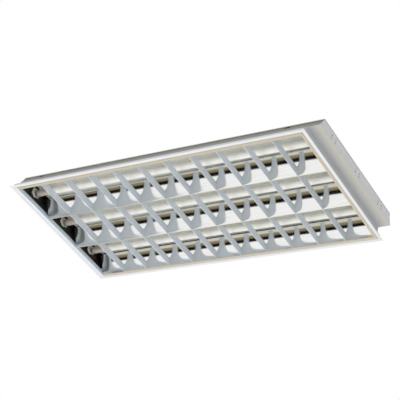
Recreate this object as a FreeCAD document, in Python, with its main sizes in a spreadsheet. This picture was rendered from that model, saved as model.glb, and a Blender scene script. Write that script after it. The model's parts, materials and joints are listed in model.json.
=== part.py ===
import FreeCAD, Part
import math
import os
import Sketcher

# Recessed three-lamp ceiling troffer with a hinged parabolic louvre.
#
# Axes: +X along the lamps, +Y across them, +Z up. The origin is the centre of the
# four suspension holes, on the top face of the gear tray. Sections are drawn with
# heights above the visible face of the trim, and every piece is then lowered by
# the height of the body, so that the trim's face lies at minus body_height.

DIMENSIONS = {
    # trim that rests on the ceiling grid
    "trim_length": 1195.0,
    "trim_width": 595.0,
    "flange_width": 12.3,
    "flange_thickness": 1.2,
    "skirt_inset": 9.5,
    "skirt_wall": 1.5,
    "skirt_height": 16.0,
    # folded sheet body
    "sheet_thickness": 0.8,
    "body_height": 75.0,
    "neck_inset": 29.5,
    "neck_height": 36.0,
    "crown_inset": 48.0,
    "rim_wall": 0.9,
    "rim_depth": 8.0,
    "end_rim_depth": 4.0,
    "end_overhang": 34.5,
    "seam_flange": 12.0,
    "wall_slot_length": 21.0,
    "wall_slot_height": 6.0,
    "wall_slot_drop": 10.0,
    "wall_slot_from_centre": 503.5,
    "hanger_spacing_x": 900.0,
    "hanger_spacing_y": 300.0,
    "hanger_hole_radius": 3.3,
    # fluorescent lamps
    "tube_radius": 13.0,
    "glass_wall": 0.8,
    "cap_length": 9.0,
    "cap_wall": 0.5,
    "pin_length": 7.1,
    "pin_radius": 1.18,
    "pin_spacing": 12.7,
    "lamp_axis_height": 51.0,
    # lampholders
    "holder_depth": 8.4,
    "holder_top": 66.0,
    "holder_face_gap": 0.3,
    "holder_plate_width": 38.0,
    "holder_plate_height": 28.0,
    "holder_plate_thickness": 2.0,
    "peg_centre_height": 58.0,
    "peg_spread_width": 15.8,
    "peg_spread_height": 11.5,
    "peg_half_width": 1.4,
    "peg_clearance": 0.1,
    "peg_reach": 0.6,
    "rotor_radius": 9.0,
    "rotor_clearance": 0.08,
    "rotor_depth": 7.2,
    "rotor_thickness": 5.5,
    "pin_slot_clearance": 0.3,
    # reflectors
    "reflector_thickness": 0.5,
    "reflector_height": 60.0,
    "reflector_lip": 4.0,
    "ridge_half_width": 1.2,
    "v_half_span": 48.3,
    "v_foot_angle": 67.5,
    "v_top_angle": 34.0,
    "side_foot_offset": 0.5,
    "side_half_span": 46.5,
    "side_foot_angle": 73.0,
    "side_top_angle": 33.0,
    # louvre frame and cross blades
    "louvre_edge_gap": 1.0,
    "near_upturn": 8.0,
    "far_upturn": 3.0,
    "side_lip_width": 11.5,
    "end_lip_width": 10.0,
    "blade_height": 27.0,
    "blade_thickness": 0.6,
    "hem_thickness": 1.6,
    "hem_height": 3.0,
    "halving_height": 13.5,
    "halving_clearance": 0.15,
    "end_strip_height": 10.0,
    # louvre hinges and catch springs
    "hinge_inset": 18.5,
    "hinge_height": 4.0,
    "hinge_from_centre": 430.0,
    "hinge_pin_radius": 1.0,
    "hinge_running_clearance": 0.05,
    "knuckle_radius": 2.8,
    "knuckle_length": 9.0,
    "ear_thickness": 1.2,
    "ear_half_width": 2.2,
    "ear_side_gap": 0.3,
    "ear_notch_gap": 1.5,
    "catch_from_centre": 430.0,
    "catch_width": 12.0,
    "catch_bump_radius": 1.6,
    "catch_bump_height": 6.0,
    # control gear
    "cover_sheet": 0.6,
    "cover_half_width": 24.0,
    "cover_depth": 29.2,
    "cover_flange": 10.0,
    "cover_length": 470.0,
    "cover_end_x": 60.0,
    "gear_first_margin": 95.0,
    "gear_last_margin": 60.0,
    "ballast_clearance": 13.0,
    "ballast_foot_reach": 14.0,
    "ballast_width": 41.0,
    "ballast_height": 28.0,
    "ballast_foot_thickness": 1.2,
    "coil_overhang": 9.0,
    "coil_height": 22.0,
    "coil_corner": 3.0,
    "capacitor_radius": 13.8,
    "capacitor_length": 80.0,
    "capacitor_edge": 2.3,
    "tag_length": 4.0,
    "tag_half_width": 3.0,
    "tag_thickness": 1.0,
    "seat_gap": 0.3,
    "starter_radius": 10.75,
    "starter_length": 36.0,
    "starter_edge": 2.7,
    "starter_pin_radius": 1.5,
    "starter_pin_head": 2.3,
    "starter_head_height": 1.4,
    "starter_pin_gap": 2.5,
    "starter_pin_offset": 6.35,
    "socket_length": 34.0,
    "socket_width": 28.0,
    "socket_height": 12.0,
    "socket_recess": 4.0,
    "socket_web": 1.5,
    "socket_bore_clearance": 0.4,
    "starter_hole_clearance": 1.6,
    "terminal_length": 44.0,
    "terminal_width": 20.0,
    "terminal_height": 17.0,
    "terminal_pitch": 10.0,
    "terminal_hole_radius": 2.2,
    "terminal_x": -25.0,
    "grommet_x": 25.0,
    "grommet_bore_radius": 5.0,
    "grommet_neck_radius": 10.0,
    "grommet_flange_radius": 12.5,
    "grommet_height": 7.0,
    "screw_head_radius": 3.5,
    "screw_head_height": 1.8,
}

CELLS = 11
CHANNELS = (-1, 0, 1)
V_RIDGES = (-0.5, 0.5)
TERMINALS = 3
SCREWS_PER_FLANGE = 3
GEAR_PLACES = 4
HEXAGON = 6


class Size:
    """A length with its value and the sheet formula that it comes from."""

    def __init__(self, value, formula):
        self.value = float(value)
        self.formula = formula

    def __float__(self):
        return self.value

    def __add__(self, other):
        other = as_size(other)
        return Size(self.value + other.value, f"({self.formula} + {other.formula})")

    def __sub__(self, other):
        other = as_size(other)
        return Size(self.value - other.value, f"({self.formula} - {other.formula})")

    def __mul__(self, factor):
        return Size(self.value * float(factor), f"({self.formula} * {as_size(factor).formula})")

    def __truediv__(self, divisor):
        return Size(self.value / float(divisor), f"({self.formula} / {as_size(divisor).formula})")

    def __neg__(self):
        return Size(-self.value, f"(0 - {self.formula})")


def as_size(number):
    return number if isinstance(number, Size) else Size(number, repr(float(number)))


class Sizes:
    """The driving dimensions as attributes, each one a Size on the sheet."""


S = Sizes()
doc = FreeCAD.newDocument("RecessedTroffer")
SUBPARTS = []


# ---------------------------------------------------------------- document helpers

def fill_sheet():
    sheet = doc.addObject("Spreadsheet::Sheet", "Dimensions")
    for row, (name, number) in enumerate(DIMENSIONS.items(), start=1):
        sheet.set(f"A{row}", name)
        sheet.set(f"B{row}", str(number))
        sheet.setAlias(f"B{row}", name)
    doc.recompute()
    for name in DIMENSIONS:
        setattr(S, name, Size(sheet.get(name), f"Dimensions.{name}"))


def bind(thing, prop, size):
    thing.setExpression(prop, as_size(size).formula)


def place(thing, x=None, y=None):
    """Put a sub-part at x and y, with its own zero on the trim's face."""
    if x is not None:
        bind(thing, "Placement.Base.x", x)
    if y is not None:
        bind(thing, "Placement.Base.y", y)
    bind(thing, "Placement.Base.z", -S.body_height)


def new_body(label, x=None, y=None, turned=False):
    body = doc.addObject("PartDesign::Body", label)
    body.Label = label
    if turned:
        body.Placement.Rotation = FreeCAD.Rotation(FreeCAD.Vector(0, 0, 1), 180)
    place(body, x, y)
    SUBPARTS.append(body)
    return body


def new_sketch(body, plane, offset=None):
    """A sketch on one of the body's own origin planes, moved along its normal by offset."""
    sketch = body.newObject("Sketcher::SketchObject", f"{body.Name}_{plane[:2]}")
    support = next(item for item in body.Origin.OriginFeatures if item.Role == plane)
    sketch.AttachmentSupport = [(support, "")]
    sketch.MapMode = "FlatFace"
    if offset is not None:
        bind(sketch, "AttachmentOffset.Base.z", offset)
    return sketch


def fix_point(sketch, geometry, vertex, point):
    for kind, size in zip(("DistanceX", "DistanceY"), point):
        size = as_size(size)
        rule = Sketcher.Constraint(kind, -1, 1, geometry, vertex, size.value)
        index = sketch.addConstraint(rule)
        bind(sketch, f"Constraints[{index}]", size)


def outline(sketch, points):
    """Closed outline of straight lines, each corner fixed by its two sizes."""
    corners = [FreeCAD.Vector(float(x), float(y), 0) for x, y in points]
    first = len(sketch.Geometry)
    count = len(corners)
    for i in range(count):
        sketch.addGeometry(Part.LineSegment(corners[i], corners[(i + 1) % count]), False)
    for i in range(count):
        sketch.addConstraint(Sketcher.Constraint("Coincident", first + i, 2, first + (i + 1) % count, 1))
    for i, point in enumerate(points):
        fix_point(sketch, first + i, 1, point)


def rectangle(sketch, x_low, x_high, y_low, y_high):
    outline(sketch, [(x_low, y_low), (x_high, y_low), (x_high, y_high), (x_low, y_high)])


def square(sketch, x, y, half):
    x = as_size(x)
    y = as_size(y)
    rectangle(sketch, x - half, x + half, y - half, y + half)


def circle(sketch, x, y, radius):
    centre = FreeCAD.Vector(float(x), float(y), 0)
    index = len(sketch.Geometry)
    sketch.addGeometry(Part.Circle(centre, FreeCAD.Vector(0, 0, 1), float(radius)), False)
    fix_point(sketch, index, 3, (x, y))
    rule = sketch.addConstraint(Sketcher.Constraint("Radius", index, float(radius)))
    bind(sketch, f"Constraints[{rule}]", radius)


def pad(body, sketch, length, symmetric=False, reverse=False):
    feature = body.newObject("PartDesign::Pad", f"{body.Name}_pad")
    feature.Profile = sketch
    feature.SideType = "Symmetric" if symmetric else "One side"
    feature.Reversed = reverse
    bind(feature, "Length", length)
    return feature


def pocket(body, sketch, depth=None, symmetric=False, reverse=False):
    feature = body.newObject("PartDesign::Pocket", f"{body.Name}_pocket")
    feature.Profile = sketch
    feature.SideType = "Symmetric" if symmetric else "One side"
    feature.Reversed = reverse
    if depth is None:
        feature.Type = "ThroughAll"
    else:
        bind(feature, "Length", depth)
    return feature


def add_shape(label, shape):
    """A sub-part from a shape that is drawn with heights above the trim's face."""
    feature = doc.addObject("Part::Feature", label)
    feature.Label = label
    feature.Shape = shape
    feature.Placement = FreeCAD.Placement(FreeCAD.Vector(0, 0, -float(S.body_height)), FreeCAD.Rotation())
    SUBPARTS.append(feature)
    return feature


def box(x_low, x_high, y_low, y_high, h_low, h_high):
    low = FreeCAD.Vector(float(x_low), float(y_low), float(h_low))
    lengths = (float(x_high) - low.x, float(y_high) - low.y, float(h_high) - low.z)
    return Part.makeBox(*lengths, low)


def rod(radius, length, x, y, height, axis):
    start = FreeCAD.Vector(float(x), float(y), float(height))
    return Part.makeCylinder(float(radius), float(length), start, FreeCAD.Vector(*axis))


ALONG_X = (1, 0, 0)
UP = (0, 0, 1)
DOWN = (0, 0, -1)


# ---------------------------------------------------------------- shared lines of the body

def body_left():
    return S.skirt_inset - S.trim_length / 2


def body_right():
    return S.trim_length / 2 + S.end_overhang


def body_middle():
    return (body_left() + body_right()) / 2


def step_x():
    """Outer face of the short wall under the overhang."""
    return S.trim_length / 2 - S.skirt_inset


def half_at(inset):
    """Distance from the middle plane of a line that lies inset from the trim's long edge."""
    return S.trim_width / 2 - inset


def tray_underside():
    return S.body_height - S.sheet_thickness


def seam_underside():
    return tray_underside() - S.sheet_thickness


def rim_inset(height):
    """Outer face of the gear tray's rim, which leans as the side walls do."""
    rise = S.body_height - S.neck_height
    lean = (S.crown_inset + S.rim_wall - S.neck_inset) / rise
    return S.crown_inset - (S.body_height - height) * lean


def wall_inset(height):
    """Outer face of the leaning part of a side wall, under the rim."""
    return rim_inset(height) + S.rim_wall


def louvre_half_length():
    return S.trim_length / 2 - S.flange_width - S.louvre_edge_gap


def louvre_half_width():
    return S.trim_width / 2 - S.flange_width - S.louvre_edge_gap


def grid_half():
    return louvre_half_length() - S.end_lip_width


def cell_pitch():
    return grid_half() * 2 / CELLS


def channel_pitch():
    return (louvre_half_width() - S.side_lip_width) * 2 / len(CHANNELS)


def plate_inner(end):
    """Inner face of an end plate."""
    outer = body_right() if end > 0 else body_left()
    return outer - S.sheet_thickness * 2 * end


def lamp_face(end):
    """Outer face of a lamp's cap: end is -1 at the left and +1 at the right."""
    return plate_inner(end) - (S.holder_depth + S.holder_face_gap) * end


def hinge_y():
    return S.trim_width / 2 - S.hinge_inset


# ---------------------------------------------------------------- trim and body

def make_trim():
    body = new_body("trim_frame")
    layers = ((as_size(0), S.flange_width, S.flange_thickness),
              (S.skirt_inset, S.skirt_inset + S.skirt_wall, S.skirt_height))
    for outer, inner, height in layers:
        sketch = new_sketch(body, "XY_Plane")
        for inset in (outer, inner):
            half_x = S.trim_length / 2 - inset
            half_y = half_at(inset)
            rectangle(sketch, -half_x, half_x, -half_y, half_y)
        pad(body, sketch, height)


def wall_section(side):
    """Folded section of a side wall: shoulder, neck, leaning wall and seam flange."""
    sheet = S.sheet_thickness
    inner = S.neck_inset + sheet
    path = [
        (S.skirt_inset, S.skirt_height),
        (inner, S.skirt_height),
        (inner, S.neck_height),
        (wall_inset(seam_underside()) + sheet, seam_underside()),
        (S.crown_inset + S.seam_flange, seam_underside()),
        (S.crown_inset + S.seam_flange, tray_underside()),
        (wall_inset(tray_underside()), tray_underside()),
        (S.neck_inset, S.neck_height),
        (S.neck_inset, S.skirt_height + sheet),
        (S.skirt_inset, S.skirt_height + sheet),
    ]
    return [(half_at(inset) * side, height) for inset, height in path]


def make_side_wall(label, side):
    sheet = S.sheet_thickness
    body = new_body(label, body_middle())
    section = new_sketch(body, "YZ_Plane")
    outline(section, wall_section(side))
    length = body_right() - body_left() - sheet * 2
    pad(body, section, length, symmetric=True)
    # the lower part stops at the short wall, so that the upper part overhangs it
    notch = new_sketch(body, "XZ_Plane")
    rectangle(notch, step_x() - body_middle(), length / 2 + 1, S.skirt_height - 1, S.neck_height)
    pocket(body, notch, S.trim_width, symmetric=True)
    slots = new_sketch(body, "XZ_Plane")
    top = S.body_height - S.wall_slot_drop
    for end in (-1, 1):
        centre = S.wall_slot_from_centre * end - body_middle()
        half = S.wall_slot_length / 2
        rectangle(slots, centre - half, centre + half, top - S.wall_slot_height, top)
    pocket(body, slots, S.trim_width, symmetric=True)


def peg_places():
    for channel in CHANNELS:
        y = channel_pitch() * channel
        for step in (-1, 1):
            yield y + S.peg_spread_width * step, S.peg_centre_height
            yield y, S.peg_centre_height + S.peg_spread_height * step


def cap_section(bottom, lift):
    """Inside of the side walls from bottom up, drawn in by lift."""
    sheet = S.sheet_thickness
    top = seam_underside() - lift
    half_neck = half_at(S.neck_inset + sheet + lift)
    half_top = half_at(wall_inset(seam_underside()) + sheet + lift)
    return [(-half_neck, bottom), (half_neck, bottom), (half_neck, S.neck_height),
            (half_top, top), (-half_top, top), (-half_neck, S.neck_height)]


def upper_section(bottom, lift):
    """The same above the neck, for the overhanging end."""
    sheet = S.sheet_thickness
    top = seam_underside() - lift
    half_low = half_at(wall_inset(bottom) + sheet + lift)
    half_top = half_at(wall_inset(seam_underside()) + sheet + lift)
    return [(-half_low, bottom), (half_low, bottom), (half_top, top), (-half_top, top)]


def make_end_plate(label, end):
    """Flanged end plate, set inside the ends of the side walls."""
    sheet = S.sheet_thickness
    outer = plate_inner(end) + sheet * end
    body = new_body(label, outer, turned=end > 0)
    if end > 0:
        section, bottom, below = upper_section, S.neck_height + sheet, S.neck_height
    else:
        section, bottom, below = cap_section, S.skirt_height, S.skirt_height - 1
    blank = new_sketch(body, "YZ_Plane")
    outline(blank, section(bottom, as_size(0)))
    pad(body, blank, S.seam_flange)
    hollow = new_sketch(body, "YZ_Plane", offset=S.seam_flange)
    outline(hollow, section(below, sheet))
    pocket(body, hollow, S.seam_flange - sheet)
    holes = new_sketch(body, "YZ_Plane", offset=sheet)
    for y, height in peg_places():
        square(holes, y, height, S.peg_half_width + S.peg_clearance)
    pocket(body, holes)


def make_end_step():
    """Short wall and ledge under the overhang, folded from one sheet."""
    sheet = S.sheet_thickness
    body = new_body("end_step")
    section = new_sketch(body, "XZ_Plane")
    wall = step_x()
    ledge_end = body_right() - sheet
    ledge_top = S.neck_height + sheet
    outline(section, [(wall - sheet, S.skirt_height), (wall, S.skirt_height), (wall, S.neck_height),
                      (ledge_end, S.neck_height), (ledge_end, ledge_top), (wall - sheet, ledge_top)])
    width = half_at(wall_inset(ledge_top) + sheet + S.peg_clearance) * 2
    pad(body, section, width, symmetric=True)


def make_gear_tray():
    """Top tray with turned-down rims that close over the walls and end plates."""
    sheet = S.sheet_thickness
    body = new_body("gear_tray", body_middle())
    half_length = (body_right() - body_left()) / 2
    top = S.body_height
    plate = new_sketch(body, "YZ_Plane")
    half_top = half_at(S.crown_inset)
    half_under = half_at(rim_inset(tray_underside()))
    outline(plate, [(-half_under, tray_underside()), (half_under, tray_underside()),
                    (half_top, top), (-half_top, top)])
    pad(body, plate, half_length * 2, symmetric=True)
    rims = new_sketch(body, "YZ_Plane")
    foot = top - S.rim_depth
    for side in (-1, 1):
        outline(rims, [(half_at(rim_inset(foot)) * side, foot),
                       (half_at(rim_inset(tray_underside())) * side, tray_underside()),
                       (half_at(wall_inset(tray_underside())) * side, tray_underside()),
                       (half_at(wall_inset(foot)) * side, foot)])
    pad(body, rims, half_length * 2, symmetric=True)
    end_rims = new_sketch(body, "XZ_Plane")
    for end in (-1, 1):
        low = half_length * end - sheet * (end + 1) / 2
        rectangle(end_rims, low, low + sheet, top - S.end_rim_depth, tray_underside())
    pad(body, end_rims, half_at(rim_inset(tray_underside())) * 2, symmetric=True)
    holes = new_sketch(body, "XY_Plane", offset=top)
    for x_side in (-1, 1):
        for y_side in (-1, 1):
            circle(holes, S.hanger_spacing_x / 2 * x_side - body_middle(), S.hanger_spacing_y / 2 * y_side,
                   S.hanger_hole_radius)
    circle(holes, S.grommet_x - body_middle(), channel_pitch() / 2, S.grommet_neck_radius)
    pocket(body, holes, sheet * 2)


# ---------------------------------------------------------------- lampholders and lamps

def make_lampholder(label, channel, end):
    """Push-through holder: flanged back, round-bottomed boss, rotor bore and pin slot."""
    y = channel_pitch() * channel
    body = new_body(label, plate_inner(end), y, turned=end > 0)
    axis = S.lamp_axis_height
    plate = new_sketch(body, "YZ_Plane")
    half_plate = S.holder_plate_width / 2
    rectangle(plate, -half_plate, half_plate, S.peg_centre_height - S.holder_plate_height / 2,
              S.peg_centre_height + S.holder_plate_height / 2)
    pad(body, plate, S.holder_plate_thickness)
    boss = new_sketch(body, "YZ_Plane")
    circle(boss, 0, axis, S.tube_radius)
    pad(body, boss, S.holder_depth)
    head = new_sketch(body, "YZ_Plane")
    rectangle(head, -S.tube_radius, S.tube_radius, axis, S.holder_top)
    pad(body, head, S.holder_depth)
    pegs = new_sketch(body, "YZ_Plane")
    for step in (-1, 1):
        square(pegs, S.peg_spread_width * step, S.peg_centre_height, S.peg_half_width)
        square(pegs, 0, S.peg_centre_height + S.peg_spread_height * step, S.peg_half_width)
    pad(body, pegs, S.sheet_thickness + S.peg_reach, reverse=True)
    bore = new_sketch(body, "YZ_Plane", offset=S.holder_depth)
    circle(bore, 0, axis, S.rotor_radius)
    pocket(body, bore, S.rotor_depth)
    slot = new_sketch(body, "YZ_Plane", offset=S.holder_depth)
    half_slot = S.pin_radius + S.pin_slot_clearance
    rectangle(slot, -half_slot, half_slot, axis - S.tube_radius - 1, axis)
    pocket(body, slot, S.rotor_depth)


def lamp_solid_pair(make_one):
    """The same small piece at both ends of a lamp."""
    return Part.makeCompound([make_one(end) for end in (-1, 1)])


def make_lamp(number, channel):
    y = channel_pitch() * channel
    axis = S.lamp_axis_height
    glass_length = lamp_face(1) - lamp_face(-1) - S.cap_length * 2
    glass_start = lamp_face(-1) + S.cap_length
    outside = rod(S.tube_radius, glass_length, glass_start, y, axis, ALONG_X)
    inside = rod(S.tube_radius - S.glass_wall, glass_length, glass_start, y, axis, ALONG_X)
    add_shape(f"lamp_{number}_tube", outside.cut(inside))

    def cap(end):
        start = lamp_face(end) - S.cap_length * (end + 1) / 2
        cup = rod(S.tube_radius, S.cap_length, start, y, axis, ALONG_X)
        hollow_start = start if end > 0 else start + S.cap_wall
        hollow = rod(S.tube_radius - S.cap_wall, S.cap_length - S.cap_wall, hollow_start, y, axis, ALONG_X)
        return cup.cut(hollow)

    def pins(end):
        start = lamp_face(end) - S.pin_length * (1 - end) / 2
        pair = [rod(S.pin_radius, S.pin_length, start, y + S.pin_spacing / 2 * side, axis, ALONG_X)
                for side in (-1, 1)]
        return Part.makeCompound(pair)

    def rotor(end):
        mouth = lamp_face(end) + S.holder_face_gap * 2 * end
        start = mouth - S.rotor_thickness * (1 - end) / 2
        disc = rod(S.rotor_radius - S.rotor_clearance, S.rotor_thickness, start, y, axis, ALONG_X)
        half_slot = S.pin_radius + S.pin_slot_clearance
        slot = box(start - 1, start + S.rotor_thickness + 1, y - S.rotor_radius, y + S.rotor_radius,
                   axis - half_slot, axis + half_slot)
        return disc.cut(slot.common(rod(S.rotor_radius * 2, S.rotor_thickness + 2, start - 1, y, axis, ALONG_X)))

    add_shape(f"lamp_{number}_caps", lamp_solid_pair(cap))
    add_shape(f"lamp_{number}_pins", lamp_solid_pair(pins))
    add_shape(f"lamp_{number}_rotors", lamp_solid_pair(rotor))


# ---------------------------------------------------------------- louvre reflectors

def tangent_meet(foot, foot_angle, top, top_angle):
    """Where the tangents at the two ends of a parabola meet, in a (distance, height) section."""
    foot_slope = math.tan(math.radians(foot_angle))
    top_slope = math.tan(math.radians(top_angle))
    distance = (top[1] - foot[1] + foot_slope * foot[0] - top_slope * top[0]) / (foot_slope - top_slope)
    return distance, foot[1] + foot_slope * (distance - foot[0])


def section_point(distance, height, ridge_y, side):
    return FreeCAD.Vector(0, ridge_y + side * distance, height)


def blend(low, high, share):
    return tuple(a + (b - a) * share for a, b in zip(low, high))


def share_at_height(foot, control, top, height):
    """How far along the parabola it reaches a height, from 0 at its foot to 1 at its top."""
    drop = foot[1] - height
    pull = control[1] - foot[1]
    bend = foot[1] - 2 * control[1] + top[1]
    return -drop / (pull + math.sqrt(pull * pull - bend * drop))


def parabola(foot, foot_angle, top, top_angle, ridge_y, side):
    """Parabola from foot to top as three short arcs, the first as high as the blade slots."""
    control = tangent_meet(foot, foot_angle, top, top_angle)
    slot_top = share_at_height(foot, control, top, float(S.halving_height + S.halving_clearance))
    stops = (0, slot_top, (slot_top + 1) / 2, 1)

    def point(share):
        section = blend(blend(foot, control, share), blend(control, top, share), share)
        return section_point(*section, ridge_y, side)

    return [Part.Arc(point(a), point((a + b) / 2), point(b)).toShape() for a, b in zip(stops, stops[1:])]


def chain(points):
    """Straight edges through the points of a section."""
    return [Part.makeLine(a, b) for a, b in zip(points, points[1:])]


class Wing:
    """Section of one reflecting wing: its face, its back and the lip along its top."""

    def __init__(self, foot_offset, half_span, foot_angle, top_angle, ridge_y, side):
        self.angles = (float(foot_angle), float(top_angle))
        self.ridge_y = float(ridge_y)
        self.side = side
        sheet = float(S.reflector_thickness)
        top_height = float(S.reflector_height)
        lift = sheet * math.tan(math.radians(90 - self.angles[1]) / 2)
        draw_in = sheet * math.tan(math.radians(self.angles[0]) / 2)
        self.foot = (float(foot_offset), 0.0)
        self.top = (float(half_span), top_height)
        self.back_foot = (self.foot[0] - draw_in, sheet)
        self.back_top = (self.top[0] - sheet, top_height + lift)
        self.lip_height = top_height + float(S.reflector_lip)

    def at(self, distance, height):
        return section_point(distance, height, self.ridge_y, self.side)

    def face(self):
        return parabola(self.foot, self.angles[0], self.top, self.angles[1], self.ridge_y, self.side)

    def back(self):
        return parabola(self.back_foot, self.angles[0], self.back_top, self.angles[1], self.ridge_y, self.side)

    def edges(self):
        """From the foot of the face round the lip to the foot of the back."""
        lip = [self.at(*self.top), self.at(self.top[0], self.lip_height),
               self.at(self.back_top[0], self.lip_height), self.at(*self.back_top)]
        return self.face() + chain(lip) + self.back()

    def envelope(self, gap):
        """Region behind the face, grown by gap, up to the height of its top."""
        foot = (self.foot[0] + gap, self.foot[1])
        top = (self.top[0] + gap, self.top[1])
        curve = parabola(foot, self.angles[0], top, self.angles[1], self.ridge_y, self.side)
        outboard = -float(channel_pitch()) / 4
        rest = chain([self.at(*top), self.at(outboard, top[1]), self.at(outboard, foot[1]), self.at(*foot)])
        return Part.Face(Part.Wire(Part.__sortEdges__(curve + rest)))


def prism(edges, x_low, x_high):
    face = Part.Face(Part.Wire(Part.__sortEdges__(edges)))
    face.translate(FreeCAD.Vector(x_low, 0, 0))
    return face.extrude(FreeCAD.Vector(x_high - x_low, 0, 0))


def v_wing(ridge, side):
    return Wing(S.ridge_half_width, S.v_half_span, S.v_foot_angle, S.v_top_angle, channel_pitch() * ridge, side)


def side_wing(side):
    """Wing along a long side: it faces the middle, so it opens towards -side."""
    ridge_y = channel_pitch() * 1.5 * side
    return Wing(S.side_foot_offset, S.side_half_span, S.side_foot_angle, S.side_top_angle, ridge_y, -side)


def blade_places():
    return [float(cell_pitch()) * (i - CELLS / 2) for i in range(1, CELLS)]


def make_v_reflector(label, ridge):
    """V of two parabolic wings on a narrow ridge, slotted from below for the cross blades."""
    right = v_wing(ridge, 1)
    left = v_wing(ridge, -1)
    bottom = chain([left.at(*left.foot), right.at(*right.foot)])
    inside = chain([left.at(*left.back_foot), right.at(*right.back_foot)])
    half = float(grid_half())
    solid = prism(right.edges() + left.edges() + bottom + inside, -half, half)
    gap = float(S.halving_clearance)
    half_slot = float(S.hem_thickness) / 2 + gap
    reach = float(S.v_half_span)
    slots = [box(x - half_slot, x + half_slot, right.ridge_y - reach, right.ridge_y + reach,
                 -1, float(S.halving_height) + gap) for x in blade_places()]
    add_shape(label, solid.cut(Part.makeCompound(slots)))


def ear_zone_half():
    return S.knuckle_length / 2 + S.ear_side_gap + S.ear_thickness


def make_side_reflector(label, side, upturn):
    """Parabolic wing with a flat lip and an upturned edge; hinge notches on the far one."""
    wing = side_wing(side)
    edge = float(channel_pitch()) * 1.5 - float(louvre_half_width())
    sheet = float(S.reflector_thickness)
    lip = chain([wing.at(*wing.foot), wing.at(edge, 0), wing.at(edge, float(upturn)),
                 wing.at(edge + sheet, float(upturn)), wing.at(edge + sheet, sheet), wing.at(*wing.back_foot)])
    half = float(grid_half())
    solid = prism(wing.edges() + lip, -half, half)
    if side > 0:
        zone = float(ear_zone_half() + S.ear_notch_gap)
        outer = float(louvre_half_width())
        for end in (-1, 1):
            x = float(S.hinge_from_centre) * end
            solid = solid.cut(box(x - zone, x + zone, outer - sheet * 2, outer + 1, sheet, float(upturn) + 1))
    add_shape(label, solid)


def make_louvre_end(label, end):
    """End strip: low upright, flat lip and upturned edge, across the whole louvre."""
    sheet = S.reflector_thickness
    body = new_body(label, turned=end < 0)
    section = new_sketch(body, "XZ_Plane")
    inner = grid_half()
    outer = louvre_half_length()
    outline(section, [(inner, 0), (outer, 0), (outer, S.far_upturn), (outer - sheet, S.far_upturn),
                      (outer - sheet, sheet), (inner + sheet, sheet), (inner + sheet, S.end_strip_height),
                      (inner, S.end_strip_height)])
    pad(body, section, louvre_half_width() * 2, symmetric=True)


def blade_shape():
    """Thin blade with a hemmed bottom edge, cut to the wings and halved over the V ridges."""
    height = float(S.blade_height)
    outer = float(channel_pitch()) * 1.5
    gap = float(S.halving_clearance)
    plate_half = float(S.blade_thickness) / 2
    hem_half = float(S.hem_thickness) / 2
    blade = box(-plate_half, plate_half, -outer, outer, 0, height)
    blade = blade.fuse(box(-hem_half, hem_half, -outer, outer, 0, S.hem_height))
    thick = FreeCAD.Vector(hem_half * 4, 0, 0)
    start = FreeCAD.Vector(-hem_half * 2, 0, 0)
    for side in (-1, 1):
        cutter = side_wing(side).envelope(gap).extrude(thick)
        cutter.translate(start)
        blade = blade.cut(cutter)
    above = box(-hem_half * 2, hem_half * 2, -outer, outer, S.halving_height - gap, S.reflector_height)
    for ridge in V_RIDGES:
        for side in (-1, 1):
            cutter = v_wing(ridge, side).envelope(gap).extrude(thick)
            cutter.translate(start)
            blade = blade.cut(cutter.common(above))
    return blade.removeSplitter()


def make_blades():
    shape = blade_shape()
    for number, x in enumerate(blade_places(), start=1):
        blade = add_shape(f"cross_blade_{number:02d}", shape.copy())
        blade.Placement.Base.x = x


# ---------------------------------------------------------------- hinges and catches

def make_hinges():
    y = hinge_y()
    axis = S.hinge_height
    knuckle_half = S.knuckle_length / 2
    zone = ear_zone_half()
    knuckles = []
    brackets = []
    for end in (-1, 1):
        x = S.hinge_from_centre * end
        radius = S.knuckle_radius
        barrel = rod(radius, S.knuckle_length, x - knuckle_half, y, axis, ALONG_X)
        foot = box(x - knuckle_half, x + knuckle_half, y - radius, y + radius, S.reflector_thickness, axis)
        bore = rod(S.hinge_pin_radius + S.hinge_running_clearance, S.knuckle_length + 2,
                   x - knuckle_half - 1, y, axis, ALONG_X)
        knuckles.append(barrel.fuse(foot).cut(bore).removeSplitter())
        bracket = rod(S.hinge_pin_radius, zone * 2 + 1, x - zone - 0.5, y, axis, ALONG_X)
        for side in (-1, 1):
            inner = x + (knuckle_half + S.ear_side_gap) * side
            low = inner if side > 0 else inner - S.ear_thickness
            plate = box(low, low + S.ear_thickness, y - S.ear_half_width, y + S.ear_half_width,
                        axis - S.ear_half_width, S.skirt_height)
            bracket = bracket.fuse(plate)
        bridge = box(x - zone, x + zone, y - S.ear_half_width * 2, y + S.ear_half_width,
                     S.skirt_height - S.ear_thickness, S.skirt_height)
        brackets.append(bracket.fuse(bridge).removeSplitter())
    add_shape("hinge_knuckles", Part.makeCompound(knuckles))
    add_shape("hinge_brackets", Part.makeCompound(brackets))


def make_catches():
    """Leaf springs on the near skirt, whose bumps stand just off the louvre's upturned edge."""
    springs = []
    wall_y = -half_at(S.skirt_inset + S.skirt_wall)
    bump_reach = louvre_half_width() + S.seat_gap
    half = S.catch_width / 2
    for end in (-1, 1):
        x = S.catch_from_centre * end
        leaf = box(x - half, x + half, wall_y, wall_y + S.reflector_thickness, S.flange_thickness, S.skirt_height)
        bump = rod(S.catch_bump_radius, S.catch_width, x - half, -bump_reach - S.catch_bump_radius,
                   S.catch_bump_height, ALONG_X)
        inside = box(x - half, x + half, wall_y, 0, S.flange_thickness, S.skirt_height)
        springs.append(leaf.fuse(bump.common(inside)).removeSplitter())
    add_shape("catch_springs", Part.makeCompound(springs))


# ---------------------------------------------------------------- control gear

def gear_pitch():
    return (S.cover_length - S.gear_first_margin - S.gear_last_margin) / (GEAR_PLACES - 1)


def gear_x(place_number):
    """Gear stands at even steps from the far end of its cover to the near one."""
    return S.cover_end_x - S.cover_length + S.gear_first_margin + gear_pitch() * place_number


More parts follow.
